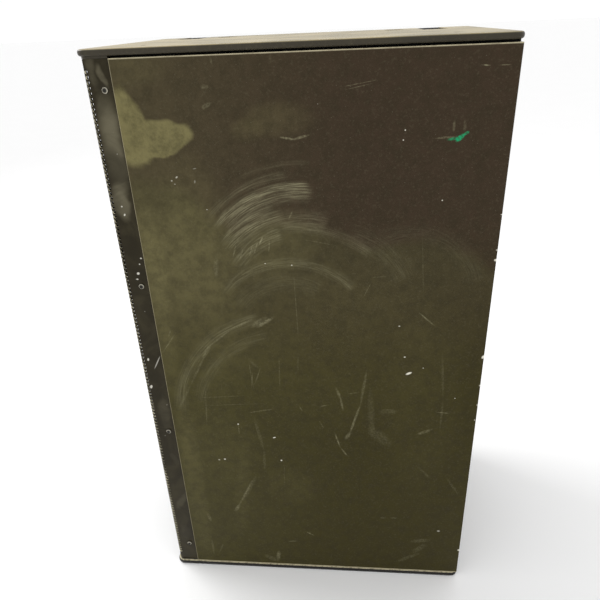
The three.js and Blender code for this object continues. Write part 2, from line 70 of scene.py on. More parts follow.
# ---- Sizes, in metres ----
HOLE_PITCH = 0.007  # of the grille, between holes of a row
HOLE_RADIUS = 0.0025
ROW_PITCH = 0.0061  # between rows
GRILLE_SHEET = 0.0015
GRILLE_BEND = 0.0035
HOLE_ROWS = 65  # of the grille, side by side, the first and last one just past the bends
GRILLE_TOP_MARGIN = 0.0125
GRILLE_BOTTOM_MARGIN = 0.0178
GRILLE_PARTS = 4  # a mesh for each, to keep them small
SURROUND_WIDTH = 0.025  # of a woofer's surround, from its inner edge to its outer edge
SURROUND_LIP = 0.005
SURROUND_RUBBER = 0.0015  # its thickness
SURROUND_SECTORS = 16
SURROUND_STEPS = 4  # of a sector's curve

# ---- Camera, as seen by someone who stands close and looks slightly down ----
CAMERA_PLACE = Vector((0.078, -0.9745, 1.0243))
CAMERA_YAW = 6.06
CAMERA_PITCH = 26.8
CAMERA_ROLL = -2.61
CAMERA_LENS = 33.37


# ---- Material building ----
MIX_COLOUR_INPUTS = (0, 6, 7)  # of a mix node: the factor and its two colours, which share names with others
MIX_COLOUR_OUTPUT = 2


class Finish:
    """A material's node tree, with short ways to add the nodes that the finishes share."""

    def __init__(self, name, roughness=0.5, metallic=0.0, specular=0.5):
        self.material = bpy.data.materials.new(name)
        self.material.use_nodes = True
        self.nodes = self.material.node_tree.nodes
        self.links = self.material.node_tree.links
        self.shader = self.nodes["Principled BSDF"]
        self.shader.inputs["Roughness"].default_value = roughness
        self.shader.inputs["Metallic"].default_value = metallic
        self.shader.inputs["Specular IOR Level"].default_value = specular
        self.place = self.nodes.new("ShaderNodeTexCoord").outputs["Object"]

    def feed(self, socket, value):
        if isinstance(value, bpy.types.NodeSocket):
            self.links.new(value, socket)
        else:
            socket.default_value = value

    def node(self, kind, *values, **settings):
        made = self.nodes.new(kind)
        for setting, value in settings.items():
            setattr(made, setting, value)
        for socket, value in zip(made.inputs, values):
            if value is not None:
                self.feed(socket, value)
        return made

    def math(self, operation, a, b=0.0, c=0.0):
        return self.node("ShaderNodeMath", a, b, c, operation=operation).outputs[0]

    def vector(self, operation, a, b=(0.0, 0.0, 0.0)):
        made = self.node("ShaderNodeVectorMath", a, b, operation=operation)
        return made.outputs["Value" if operation in ("LENGTH", "DOT_PRODUCT", "DISTANCE") else "Vector"]

    def stretched(self, scale, turn=(0.0, 0.0, 0.0), shift=(0.0, 0.0, 0.0)):
        """The place on the object, scaled by three factors after it is turned, in degrees."""
        angles = [math.radians(a) for a in turn]
        turned = self.node("ShaderNodeMapping", self.place, shift, angles).outputs[0]
        return self.vector("MULTIPLY", turned, scale)

    def noise(self, scale, detail=3.0, rough=0.55, place=None, warp=0.0):
        """Noise from 0 to 1; scale is in cells for each metre."""
        made = self.node("ShaderNodeTexNoise")
        self.feed(made.inputs["Vector"], place or self.place)
        made.inputs["Scale"].default_value = scale
        made.inputs["Detail"].default_value = detail
        made.inputs["Roughness"].default_value = rough
        made.inputs["Distortion"].default_value = warp
        return made.outputs["Fac"]

    def shifted(self, scale, amount):
        """The place on the object, pushed about by up to so many metres, for ragged outlines."""
        made = self.node("ShaderNodeTexNoise")
        self.feed(made.inputs["Vector"], self.place)
        made.inputs["Scale"].default_value = scale
        push = self.vector("SUBTRACT", made.outputs["Color"], (0.5, 0.5, 0.5))
        push = self.vector("MULTIPLY", push, (amount, amount, amount))
        return self.vector("ADD", self.place, push)

    def cells(self, scale):
        """The distance to the nearest of many scattered points."""
        made = self.node("ShaderNodeTexVoronoi")
        self.feed(made.inputs["Vector"], self.place)
        made.inputs["Scale"].default_value = scale
        return made.outputs["Distance"]

    def step(self, value, low, high, first=0.0, last=1.0):
        """A smooth step from first to last as value goes from low to high."""
        made = self.node("ShaderNodeMapRange", interpolation_type="SMOOTHSTEP")
        for socket, given in zip(made.inputs, (value, low, high, first, last)):
            self.feed(socket, given)
        return made.outputs[0]

    def mix(self, share, first, last):
        made = self.nodes.new("ShaderNodeMix")
        made.data_type = "RGBA"
        factor, first_colour, last_colour = (made.inputs[i] for i in MIX_COLOUR_INPUTS)
        self.feed(factor, share)
        self.feed(first_colour, _colour(first))
        self.feed(last_colour, _colour(last))
        return made.outputs[MIX_COLOUR_OUTPUT]

    def colour(self, value):
        self.feed(self.shader.inputs["Base Color"], _colour(value))

    def roughness(self, value):
        self.feed(self.shader.inputs["Roughness"], value)

    def bump(self, height, depth):
        """Bump from a height of 0 to 1 that stands for so many metres."""
        made = self.nodes.new("ShaderNodeBump")
        made.inputs["Distance"].default_value = depth
        self.feed(made.inputs["Height"], height)
        self.feed(self.shader.inputs["Normal"], made.outputs["Normal"])


def _colour(value):
    if isinstance(value, bpy.types.NodeSocket):
        return value
    return (*value, 1.0)


# ---- Wear and painted sheen on the near panel: millimetres back from the grille's face and up from the floor ----
def spot(finish, x, z, length, width, angle=0.0, soft=0.9, place=None):
    """1 in an ellipse, 0 outside it, with a soft edge; angle is its length's, in degrees from +X to +Z."""
    turn = math.radians(angle)
    along, across = (math.cos(turn), 0.0, math.sin(turn)), (-math.sin(turn), 0.0, math.cos(turn))
    offset = finish.vector("SUBTRACT", place or finish.place, (x / 1000, 0.0, z / 1000))
    u = finish.vector("DOT_PRODUCT", offset, [c * 2000 / length for c in along])
    v = finish.vector("DOT_PRODUCT", offset, [c * 2000 / width for c in across])
    squared = finish.math("MULTIPLY_ADD", u, u, finish.math("MULTIPLY", v, v))
    return finish.step(squared, 1.0, (1.0 - soft) ** 2)


def stroke(finish, x, z, end_x, end_z, width):
    """A soft rub from one point to another, which thins out at both ends."""
    length = math.hypot(end_x - x, end_z - z) + width
    angle = math.degrees(math.atan2(end_z - z, end_x - x))
    return spot(finish, (x + end_x) / 2, (z + end_z) / 2, length, width, angle)


def wiped(finish, x, z, radius, width, start, end):
    """Streaks that run round a point, as a cloth leaves them, between two angles in degrees."""
    offset = finish.vector("SUBTRACT", finish.place, (x / 1000, 0.0, z / 1000))
    offset = finish.vector("MULTIPLY", offset, (1.0, 0.0, 1.0))
    distance = finish.vector("LENGTH", offset)
    parts = finish.node("ShaderNodeSeparateXYZ", offset)
    angle = finish.math("ARCTAN2", parts.outputs["Z"], parts.outputs["X"])
    polar = finish.node("ShaderNodeCombineXYZ", finish.math("MULTIPLY", distance, 450.0),
                        finish.math("MULTIPLY", angle, 3.0)).outputs[0]
    streaks = finish.step(finish.noise(1.0, 5.0, 0.7, polar), 0.4, 0.66, 0.12)
    off_band = finish.math("ABSOLUTE", finish.math("SUBTRACT", distance, radius / 1000))
    band = finish.step(off_band, width / 2000, 0.0)
    begins = finish.step(angle, math.radians(start), math.radians(start + 5))
    ends = finish.step(angle, math.radians(end), math.radians(end - 12))
    window = finish.math("MULTIPLY", begins, ends)
    return finish.math("MULTIPLY", finish.math("MULTIPLY", streaks, band), window)


def total(finish, masks):
    """The weighted sum of some masks, up to 1."""
    result = 0.0
    for mask, weight in masks:
        result = finish.math("MULTIPLY_ADD", mask, weight, result)
    return finish.math("MINIMUM", result, 1.0)


def spots(finish, table, soft=0.9, place=None):
    return total(finish, ((spot(finish, *row[:-1], soft, place), row[-1]) for row in table))


# The hazy and dusty patches stand partly for dirt and partly for a painted sheen, strongest on the upper
# left where the panel catches the light.
# x, z, length, width, angle, strength
HAZE_AND_SHEEN = [(46, 897, 122, 66, 96, 1.0), (96, 884, 88, 56, 0, 1.0), (68, 874, 90, 56, 0, 1.0)]
WIPED_OFF = [(88, 834, 52, 50, 0, 1.0), (46, 810, 66, 60, 0, 1.0), (126, 842, 40, 26, -40, 1.0)]
DUST_AND_SHEEN = [
    (44, 640, 70, 480, 0, 0.55), (110, 720, 180, 330, 0, 0.5), (60, 240, 50, 560, 0, 0.3),
    (330, 540, 500, 420, 0, 0.16), (245, 230, 130, 120, 0, 0.12), (150, 200, 40, 300, -8, 0.14),
    (120, 600, 180, 420, 0, 0.22), (262, 903, 120, 60, 0, 0.3), (217, 890, 60, 40, 0, 0.2),
    (240, 715, 180, 130, 30, 0.3), (110, 330, 200, 260, 0, 0.14), (480, 420, 160, 460, 0, 0.12),
    (60, 975, 140, 60, 0, 0.25),
]
GREEN_MARK = [(506, 873, 17, 8, 40, 1.0), (497, 872, 20, 5, 10, 0.5), (514, 879, 10, 5, 30, 0.6)]
SPECKS = [
    (101, 822, 3.5, 3, 0, 0.4), (109, 827, 5, 3, 40, 0.5), (105, 817, 3, 2, 0, 0.35),
    (137, 839, 7, 2, 10, 0.2), (135, 820, 6, 3, 80, 0.2), (148, 778, 2.5, 2, 0, 0.5),
    (229, 691, 3, 2, 0, 0.6), (270, 688, 3, 2.5, 0, 0.7), (433, 885, 2.5, 2.5, 0, 0.8),
    (431, 872, 2.5, 2.5, 0, 0.7), (489, 787, 2.5, 2.5, 0, 0.8), (316, 922, 1.5, 1.5, 0, 0.3),
    (437, 582, 4, 2.5, 0, 0.6), (448, 524, 4, 3, 0, 0.8), (479, 503, 3, 2, 0, 0.6),
    (456, 492, 13, 5, 25, 1.0), (535, 443, 3, 2, 0, 0.6), (158, 377, 4, 3, 0, 0.9),
    (222, 348, 7, 3, 20, 0.9), (232, 294, 4, 4, 0, 1.0), (125, 293, 5, 4, 0, 0.7),
    (114, 291, 5, 3, 0, 0.5), (573, 765, 3, 2, 0, 0.8), (573, 711, 4, 3, 0, 0.6),
    (573, 695, 6, 5, 0, 0.9), (573, 526, 9, 6, 60, 1.0), (573, 470, 3, 4, 0, 0.6),
    (573, 430, 3, 5, 0, 0.5), (572, 398, 3, 4, 0, 0.5), (573, 74, 6, 6, 0, 1.0), (530, 125, 7, 5, 0, 0.4),
]
# x, z, to x, to z, width, strength
RUBS = [
    (262, 880, 284, 876, 4, 0.9), (280, 876, 303, 882, 4.5, 0.9), (346, 942, 398, 950, 1.4, 0.6),
    (349, 938, 391, 946, 1.4, 0.6), (525, 963, 536, 962, 2, 1.0), (547, 962, 562, 962, 2, 1.0),
    (222, 722, 228, 734, 3, 0.9), (180, 702, 186, 722, 3, 0.5), (213, 708, 220, 726, 3, 0.5),
    (205, 703, 212, 722, 2.5, 0.5), (236, 710, 238, 730, 3, 0.45), (190, 698, 197, 716, 3, 0.4),
    (269, 762, 275, 774, 3, 0.45), (153, 702, 150, 668, 10, 0.3), (208, 578, 236, 597, 8, 0.8),
    (200, 580, 224, 596, 12, 0.4), (160, 572, 206, 596, 5, 0.45), (123, 540, 164, 574, 4, 0.35),
    (110, 516, 126, 545, 9, 0.4), (80, 459, 115, 524, 5, 0.3), (51, 406, 82, 462, 6, 0.22),
    (42, 528, 71, 568, 3, 0.45), (56, 558, 62, 572, 3, 0.35), (272, 685, 275, 547, 2, 0.32),
    (273, 530, 271, 488, 2, 0.26), (241, 535, 238, 445, 2, 0.3), (237, 290, 234, 225, 2, 0.18),
    (108, 468, 99, 362, 3, 0.22), (188, 515, 193, 450, 3, 0.3), (209, 503, 194, 462, 2.5, 0.4),
    (194, 494, 188, 452, 2, 0.35), (188, 518, 204, 498, 7, 0.18), (84, 433, 183, 441, 1.8, 0.32),
    (89, 416, 216, 425, 1.8, 0.25), (173, 402, 231, 414, 2.6, 0.45), (387, 500, 376, 420, 6, 0.4),
    (378, 430, 356, 354, 5.5, 0.7), (358, 362, 352, 350, 9, 0.5), (393, 460, 398, 352, 15, 0.16),
    (398, 370, 425, 342, 28, 0.18), (335, 460, 343, 437, 7, 0.45), (342, 441, 347, 412, 5, 0.5),
    (354, 448, 376, 452, 2.4, 0.45), (306, 420, 322, 424, 2.4, 0.6), (270, 421, 276, 408, 2.6, 0.4),
    (305, 388, 312, 373, 2.6, 0.45), (331, 364, 342, 326, 4, 0.7), (341, 330, 355, 308, 4, 0.5),
    (464, 609, 495, 580, 3, 0.65), (506, 413, 530, 411, 2.2, 0.75), (476, 363, 502, 376, 8, 0.45),
    (410, 412, 438, 412, 13, 0.18), (416, 416, 432, 416, 2, 0.45), (158, 380, 158, 352, 2.2, 0.45),
    (176, 246, 136, 164, 5, 0.45), (141, 174, 133, 160, 9, 0.5), (182, 254, 150, 188, 12, 0.18),
    (188, 395, 201, 316, 8, 0.2), (201, 320, 199, 266, 7, 0.16), (75, 148, 79, 129, 8, 0.35),
    (75, 74, 75, 28, 6, 0.28), (87, 36, 98, 63, 5, 0.26), (210, 22, 213, 46, 11, 0.6),
    (186, 32, 208, 20, 15, 0.26), (272, 108, 287, 98, 3.5, 0.75), (234, 78, 252, 80, 4, 0.45),
    (478, 93, 514, 99, 13, 0.22), (454, 33, 497, 60, 11, 0.26), (486, 64, 506, 84, 16, 0.2),
    (438, 156, 448, 156, 6, 0.3), (419, 155, 427, 155, 6, 0.25), (507, 540, 516, 437, 5, 0.2),
    (516, 441, 515, 372, 5, 0.2), (534, 265, 560, 222, 6, 0.18), (480, 290, 507, 260, 6, 0.14),
    (392, 667, 416, 669, 2, 0.35), (393, 662, 379, 632, 2, 0.35), (464, 742, 472, 627, 2.2, 0.2),
    (284, 731, 346, 718, 2.5, 0.22), (283, 748, 324, 741, 2.5, 0.2), (497, 882, 497, 896, 5, 0.35),
    (511, 882, 511, 896, 5, 0.35), (472, 873, 502, 875, 4, 0.45), (161, 949, 168, 948, 8, 0.3),
    (160, 922, 168, 926, 8, 0.5), (176, 986, 178, 976, 4, 0.3), (256, 985, 256, 976, 4, 0.2),
]
# x, z, radius, width, first angle, last angle, strength
SWIRLS = [
    (286, 646, 166, 16, 84, 143, 1.0), (286, 646, 154, 34, 82, 140, 0.75),
    (286, 646, 182, 18, 94, 142, 0.35), (286, 646, 198, 12, 84, 120, 0.15),
    (291, 617, 168, 12, 104, 141, 0.9), (291, 617, 154, 32, 100, 143, 0.75),
    (291, 617, 128, 40, 104, 150, 0.5), (288, 640, 120, 46, 70, 112, 0.3),
    (265, 550, 200, 26, 50, 96, 0.3), (265, 560, 132, 26, 40, 145, 0.35),
    (265, 560, 100, 50, 60, 150, 0.15), (258, 400, 200, 34, 102, 182, 0.35),
    (258, 400, 165, 34, 100, 175, 0.2), (450, 640, 98, 46, 10, 120, 0.1),
    (330, 620, 120, 60, 20, 80, 0.15),
]
# x, z, length, width, angle, strength: where the paint has been wiped, up to a visible border
WIPED_ZONE = [(262, 566, 400, 400, 0, 1.0), (456, 562, 345, 345, 0, 1.0), (60, 560, 330, 560, 0, 1.0)]


def marked_panel():
    """The broad side that faces the viewer: satin olive-brown paint, hazed, wiped, scuffed and chipped, with
    painted light: lighter towards the grille edge, a painted sheen in the pale patches on the upper left,
    and painted highlights along its edges.
    """
    finish = Finish("panel_paint_marked", specular=0.1)
    low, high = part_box("side_panel_near")
    grille_face, flange_end = (corner.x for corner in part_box("front_grille"))
    spread = finish.node("ShaderNodeSeparateXYZ", finish.place).outputs
    outer_face = finish.step(spread["Y"], low.y + 0.004, low.y + 0.001)
    finish.place = finish.vector("SUBTRACT", finish.place, (grille_face, 0.0, 0.0))
    ragged = finish.shifted(22.0, 0.03)
    cloudy = finish.noise(3.2, 6.0, 0.62, warp=0.8)
    mottled = finish.noise(60.0, 6.0, 0.75)
    grain = finish.noise(330.0, 3.0)
    across = finish.step(spread["X"], grille_face, grille_face + 0.4)
    upward = finish.step(finish.node("ShaderNodeSeparateXYZ", ragged).outputs["Z"], 0.45, 0.8)
    zone = finish.math("MULTIPLY", spots(finish, WIPED_ZONE, 0.14, ragged), upward)
    # painted light: both paints run lighter near the grille edge and darker towards the back edge, as the
    # light falls across the panel
    olive = finish.mix(across, (0.052, 0.045, 0.0115), (0.037, 0.0305, 0.0055))
    brown = finish.mix(across, (0.064, 0.051, 0.0245), (0.041, 0.0265, 0.0145))
    paint = finish.mix(upward, olive, brown)
    paint = finish.mix(finish.math("MULTIPLY", zone, 0.7), paint, (0.058, 0.051, 0.02))
    # pale hazy and dusty patches: dirt, and a painted sheen on the upper left
    haze_and_sheen = finish.math("MULTIPLY_ADD", spots(finish, WIPED_OFF, 0.2, ragged), -0.95, 1.0)
    haze_and_sheen = finish.math("MULTIPLY", spots(finish, HAZE_AND_SHEEN, 0.25, ragged), haze_and_sheen)
    dust_and_sheen = finish.math("MULTIPLY", spots(finish, DUST_AND_SHEEN, 1.0), finish.step(cloudy, 0.3, 0.7, 0.35))
    dust_and_sheen = finish.math("MULTIPLY_ADD", haze_and_sheen, 1.3, dust_and_sheen)
    swirl = total(finish, ((wiped(finish, *row[:-1]), row[-1]) for row in SWIRLS))
    rubs = total(finish, ((stroke(finish, *row[:-1]), row[-1]) for row in RUBS))
    rubs = finish.math("MULTIPLY", rubs, finish.step(grain, 0.25, 0.7, 0.1, 0.8))
    rubbed = finish.math("MINIMUM", finish.math("ADD", swirl, rubs), 1.0)
    paint = finish.mix(finish.math("MULTIPLY", dust_and_sheen, 0.66), paint, (0.195, 0.172, 0.072))
    paint = finish.mix(finish.step(mottled, 0.35, 0.7, 0.0, 0.45), paint, (0.023, 0.0185, 0.0075))
    paint = finish.mix(finish.step(grain, 0.5, 0.8, 0.0, 0.2), paint, (0.13, 0.115, 0.07))
    paint = finish.mix(finish.math("MULTIPLY", rubbed, 0.6), paint, (0.36, 0.335, 0.2))
    grit = finish.math("MULTIPLY", finish.step(finish.cells(110.0), 0.07, 0.035, 0.0, 0.3), upward)
    paint = finish.mix(grit, paint, (0.24, 0.22, 0.16))
    green = finish.math("MULTIPLY", spots(finish, GREEN_MARK, 0.8), finish.step(grain, 0.3, 0.6, 0.3))
    paint = finish.mix(green, paint, (0.0, 0.4, 0.16))
    specks = finish.math("MULTIPLY", spots(finish, SPECKS, 0.7), outer_face)
    paint = finish.mix(specks, paint, (0.72, 0.69, 0.58))
    # pale lines along the top, bottom and front edges: rubbed paint, and a painted highlight where the edges
    # catch the light
    top_edge = finish.step(spread["Z"], high.z - 0.002, high.z - 0.0007)
    bottom_edge = finish.step(spread["Z"], low.z + 0.0024, low.z + 0.0012)
    front_edge = finish.step(spread["X"], flange_end + 0.0022, flange_end + 0.0008, 0.0, 0.75)
    edges = finish.math("MAXIMUM", finish.math("MAXIMUM", top_edge, bottom_edge), front_edge)
    edges = finish.math("MULTIPLY", edges, finish.step(mottled, 0.25, 0.6, 0.45))
    paint = finish.mix(edges, paint, (0.46, 0.41, 0.27))
    finish.colour(paint)
    matt = finish.math("MULTIPLY_ADD", cloudy, 0.14, 0.34)
    finish.roughness(finish.math("MULTIPLY_ADD", rubbed, 0.15, matt))
    finish.bump(finish.noise(420.0, 2.0), 0.00012)
    return finish.material


def worn_panel(name, base, lighter):
    """Satin textured paint with cloudy handling marks, long scratches and small chips."""
    finish = Finish(name, specular=0.42)
    cloudy = finish.noise(3.4, 5.0, 0.6, warp=1.0)
    brushed = finish.noise(1.0, 4.0, 0.6, finish.stretched((14.0, 14.0, 70.0), (10, 20, 0)))
    scratched = finish.noise(1.0, 2.0, 0.5, finish.stretched((3.0, 3.0, 260.0), (24, 32, 0)))
    scratches = finish.math("MULTIPLY", finish.step(scratched, 0.66, 0.71), finish.step(cloudy, 0.45, 0.6))
    chips = finish.step(finish.cells(24.0), 0.035, 0.022)
    chips = finish.math("MULTIPLY", chips, finish.step(cloudy, 0.55, 0.7))
    paint = finish.mix(finish.step(cloudy, 0.35, 0.75), base, lighter)
    paint = finish.mix(finish.math("MULTIPLY", brushed, 0.25), paint, lighter)
    paint = finish.mix(finish.math("MULTIPLY", scratches, 0.5), paint, (0.3, 0.28, 0.2))
    paint = finish.mix(chips, paint, (0.55, 0.5, 0.42))
    finish.colour(paint)
    finish.roughness(finish.math("ADD", finish.math("MULTIPLY", cloudy, 0.16), 0.36))
    finish.bump(finish.noise(420.0, 2.0), 0.00012)
    return finish.material


def cap_paint(name, node, low, high, dusty, ledge):
    """Painted plate: cloudy, with a pale dusty film and a painted reflection on its upper face, and a
    painted highlight line at the ledge.
    """
    finish = Finish(name, specular=0.25)
    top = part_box(node)[1].z
    level = finish.node("ShaderNodeSeparateXYZ", finish.place).outputs["Z"]
    cloudy = finish.noise(7.0, 4.0, 0.6, warp=0.6)
    grain = finish.noise(190.0, 4.0, 0.7)
    paint = finish.mix(cloudy, low, high)
    paint = finish.mix(finish.step(grain, 0.5, 0.75, 0.0, 0.4), paint, [c * 1.8 for c in high])
    # the upper face turns pale by the share that dusty gives: a dusty film and a painted reflection of the
    # light
    face = finish.step(level, top - 0.0016, top - 0.0002, 0.0, dusty)
    face = finish.math("MULTIPLY", face, finish.step(cloudy, 0.3, 0.6, 0.75))
    dust_and_sheen = finish.mix(finish.step(cloudy, 0.4, 0.62), (0.32, 0.265, 0.14), (0.42, 0.345, 0.185))
    paint = finish.mix(face, paint, dust_and_sheen)
    # a painted highlight line where the ledge catches the light
    line = finish.math("COMPARE", level, ledge, 0.0007)
    line = finish.math("MULTIPLY", line, finish.step(grain, 0.3, 0.6, 0.3))
    paint = finish.mix(line, paint, (0.5, 0.45, 0.3))
    finish.colour(paint)
    finish.roughness(finish.math("MULTIPLY_ADD", grain, 0.2, 0.3))
    finish.bump(finish.noise(300.0, 3.0), 0.0001)
    return finish.material


def edge_wear_and_highlight(name, colour):
    """Paint rubbed off along an edge, down to the bright primer, with a painted highlight where the edge
    catches the light, more in some places than in others.
    """
    finish = Finish(name, specular=0.4)
    along = finish.noise(30.0, 5.0, 0.7)
    finish.colour(finish.mix(finish.step(along, 0.35, 0.6), [c * 0.35 for c in colour], colour))
    finish.roughness(finish.math("MULTIPLY_ADD", along, 0.3, 0.3))
    return finish.material


# The same places as on the near panel, but on the grille's flange beside it
FLANGE_CHIPS = [
    (20, 771, 5, 3, 60, 0.9), (18, 784, 3, 3, 0, 0.8), (33, 700, 4, 3, 0, 0.8), (29, 690, 3, 3, 0, 0.7),
    (24, 674, 6, 5, 30, 0.9), (21, 664, 4, 3, 0, 0.8), (28, 650, 3, 3, 0, 0.6), (9, 455, 9, 5, 70, 1.0),
    (13, 512, 7, 4, 80, 0.9), (28, 506, 34, 2.5, 62, 0.5),
]
# painted sheen: soft pale patches along the flange, one above the other, where it reflects the light
FLANGE_SHEEN = [
    (22, 870, 40, 190, 0, 0.8), (24, 965, 10, 40, 10, 0.7), (12, 975, 16, 60, 0, 0.4),
    (18, 790, 30, 70, 0, 0.6), (24, 395, 30, 90, 0, 0.25), (26, 290, 16, 40, 30, 0.2),
    (24, 180, 20, 50, -30, 0.3), (22, 90, 24, 40, 0, 0.2),
]


def grille_paint():
    """Dark satin paint on perforated steel, cloudy with handling, with a painted sheen along the flange, and
    chipped in places to bright metal.
    """
    finish = Finish("grille_paint", specular=0.15)
    grille_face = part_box("front_grille")[0].x
    finish.place = finish.vector("SUBTRACT", finish.place, (grille_face, 0.0, 0.0))
    cloudy = finish.noise(16.0, 4.0, 0.6, warp=1.0)
    ragged = finish.shifted(30.0, 0.02)
    sheen = spots(finish, FLANGE_SHEEN, 0.9, ragged)
    sheen = finish.math("MULTIPLY", sheen, finish.step(cloudy, 0.3, 0.7, 0.3))
    paint = finish.mix(finish.step(cloudy, 0.38, 0.72), (0.016, 0.012, 0.0035), (0.032, 0.026, 0.011))
    paint = finish.mix(sheen, paint, (0.15, 0.134, 0.085))
    chips = spots(finish, FLANGE_CHIPS, 0.5)
    chips = finish.math("MULTIPLY_ADD", finish.step(finish.cells(46.0), 0.045, 0.025), 0.4, chips)
    paint = finish.mix(finish.math("MINIMUM", chips, 0.9), paint, (0.62, 0.6, 0.52))
    finish.colour(paint)
    finish.roughness(finish.math("MULTIPLY_ADD", cloudy, 0.24, 0.26))
    finish.bump(finish.noise(240.0, 2.0), 0.0001)
    return finish.material


def metal(name, low, high, roughness, cells_per_metre=300.0):
    """Bare or plated metal: fine brushing and darker blotches."""
    finish = Finish(name, metallic=1.0)
    blotches = finish.noise(cells_per_metre / 8, 4.0, 0.6)
    along = (cells_per_metre * 6, cells_per_metre, cells_per_metre)
    brushing = finish.noise(1.0, 2.0, 0.5, finish.stretched(along))
    finish.colour(finish.mix(blotches, low, high))
    finish.roughness(finish.math("ADD", finish.math("MULTIPLY", brushing, 0.2), roughness))
    finish.bump(brushing, 0.00004)
    return finish.material


def moulded(name, low, high, roughness, grain=900.0):
    """Moulded plastic or rubber: a fine even grain and dusty blotches."""
    finish = Finish(name, specular=0.45)
    dusty = finish.noise(14.0, 4.0, 0.6)
    finish.colour(finish.mix(finish.step(dusty, 0.35, 0.8), low, high))
    finish.roughness(finish.math("ADD", finish.math("MULTIPLY", dusty, 0.2), roughness))
    finish.bump(finish.noise(grain, 2.0), 0.0001)
    return finish.material


def plywood():
    """Birch plywood: long pale grain on the faces."""
    finish = Finish("plywood", roughness=0.7)
    grain = finish.noise(1.0, 5.0, 0.62, finish.stretched((9.0, 160.0, 9.0)), warp=0.4)
    finish.colour(finish.mix(grain, (0.34, 0.21, 0.1), (0.58, 0.42, 0.24)))
    finish.bump(grain, 0.0001)
    return finish.material


def black_board():
    """The baffle and end boards: plywood under rolled black paint."""
    finish = Finish("black_board", specular=0.12)
    rolled = finish.noise(240.0, 3.0)
    finish.colour(finish.mix(finish.noise(5.0, 3.0), (0.0035, 0.0035, 0.0035), (0.007, 0.0065, 0.006)))
    finish.roughness(finish.math("ADD", finish.math("MULTIPLY", rolled, 0.2), 0.55))
    finish.bump(rolled, 0.0003)
    return finish.material


def cone_paper():
    """Coated paper pulp: fibres and faint rings."""
    finish = Finish("cone_paper", specular=0.3)
    fibres = finish.noise(700.0, 4.0, 0.65, warp=1.0)
    finish.colour(finish.mix(fibres, (0.008, 0.008, 0.009), (0.03, 0.03, 0.032)))
    finish.roughness(finish.math("ADD", finish.math("MULTIPLY", fibres, 0.25), 0.6))
    finish.bump(fibres, 0.0003)
    return finish.material


def circuit_board():
    """A lacquered green board, with paler tracks."""
    finish = Finish("circuit_board", roughness=0.4)
    tracks = finish.step(finish.noise(1.0, 0.0, 0.5, finish.stretched((60.0, 260.0, 60.0))), 0.5, 0.52)
    finish.colour(finish.mix(tracks, (0.02, 0.07, 0.035), (0.04, 0.12, 0.06)))
    finish.bump(tracks, 0.00003)
    return finish.material


def pale_floor():
    finish = Finish("pale_floor", roughness=0.9, specular=0.1)
    finish.colour(finish.mix(finish.noise(3.0, 3.0), (0.94, 0.94, 0.94), (0.96, 0.96, 0.96)))
    return finish.material


# ---- CAD nodes: finishes, smooth shading and softened edges ----
def dressed(material, *names, edge=0.0, smooth=36.0):
    """Gives CAD nodes their material and shading, and rounds their sharp edges by so many metres."""
    for name in names:
        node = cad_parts[name]
        node.data.materials.clear()
        node.data.materials.append(material)
        node.data.polygons.foreach_set("use_smooth", [True] * len(node.data.polygons))
        node.data.set_sharp_from_angle(angle=math.radians(smooth))
        if edge:
            bevel = node.modifiers.new("rounded_edges", "BEVEL")
            bevel.width = edge
            bevel.segments = 2
            bevel.limit_method = "ANGLE"
            bevel.angle_limit = math.radians(50)
        weighted = node.modifiers.new("face_shading", "WEIGHTED_NORMAL")
        weighted.keep_sharp = True


def brighten_chamfers(material, names):
    """The slanted faces of screw heads that point along Y, in bright metal: plating rubbed off, and a
    painted highlight where the chamfers catch the light.
    """
    for name in names:
        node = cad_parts[name]
        node.data.materials.append(material)
        turned = node.matrix_world.to_3x3()
        for face in node.data.polygons:
            if 0.1 < abs((turned @ face.normal).normalized().y) < 0.97:
                face.material_index = 1


def nodes_like(*starts):
    return [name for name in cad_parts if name.startswith(starts)]


def dress_cabinet():
    black = black_board()
    side = worn_panel("panel_paint", (0.042, 0.036, 0.02), (0.066, 0.058, 0.034))
    dressed(marked_panel(), "side_panel_near", edge=0.0008)
    dressed(side, "side_panel_far", "rear_panel", edge=0.0008)
    dressed(black, "front_baffle", *nodes_like("end_board", "port_board"))
    dressed(plywood(), *nodes_like("chamber_divider"))
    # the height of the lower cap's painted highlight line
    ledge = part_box("side_panel_near")[0].z - 0.0003
    top = cap_paint("cap_paint", "end_cap_top", (0.024, 0.019, 0.012), (0.045, 0.038, 0.021), 0.9, 0.0)
    # the lower cap's darker colours are painted shade, for the cap beside the floor
    bottom = cap_paint("lower_cap_paint_shaded", "end_cap_bottom", (0.006, 0.0055, 0.005), (0.016, 0.014, 0.011),
                       0.0, ledge)
    dressed(top, "end_cap_top", edge=0.0005, smooth=40.0)
    dressed(bottom, "end_cap_bottom", smooth=40.0)
    plate = worn_panel("plate_paint", (0.03, 0.027, 0.018), (0.05, 0.045, 0.03))
    dressed(plate, "connector_plate", edge=0.0005)


def dress_drivers():
    paper = cone_paper()
    casting = moulded("black_casting", (0.012, 0.012, 0.013), (0.03, 0.03, 0.032), 0.45, 400.0)
    rubber = moulded("black_rubber", (0.01, 0.01, 0.01), (0.024, 0.024, 0.023), 0.6)
    dressed(casting, *nodes_like("woofer_frame"), "throat_plate", edge=0.0006)
    dressed(metal("magnet_plate", (0.09, 0.09, 0.1), (0.2, 0.2, 0.21), 0.4), *nodes_like("woofer_motor"))
    dressed(metal("driver_cover", (0.05, 0.05, 0.055), (0.12, 0.12, 0.13), 0.35), *nodes_like("compression"))
    dressed(paper, *nodes_like("woofer_cone", "woofer_dust_cap", "woofer_spider"))
    copper = metal("copper_wire", (0.5, 0.22, 0.1), (0.75, 0.4, 0.2), 0.3, 900.0)
    dressed(copper, *nodes_like("woofer_voice"))
    dressed(rubber, *nodes_like("woofer_surround", "handle_bar"), "internal_wiring")


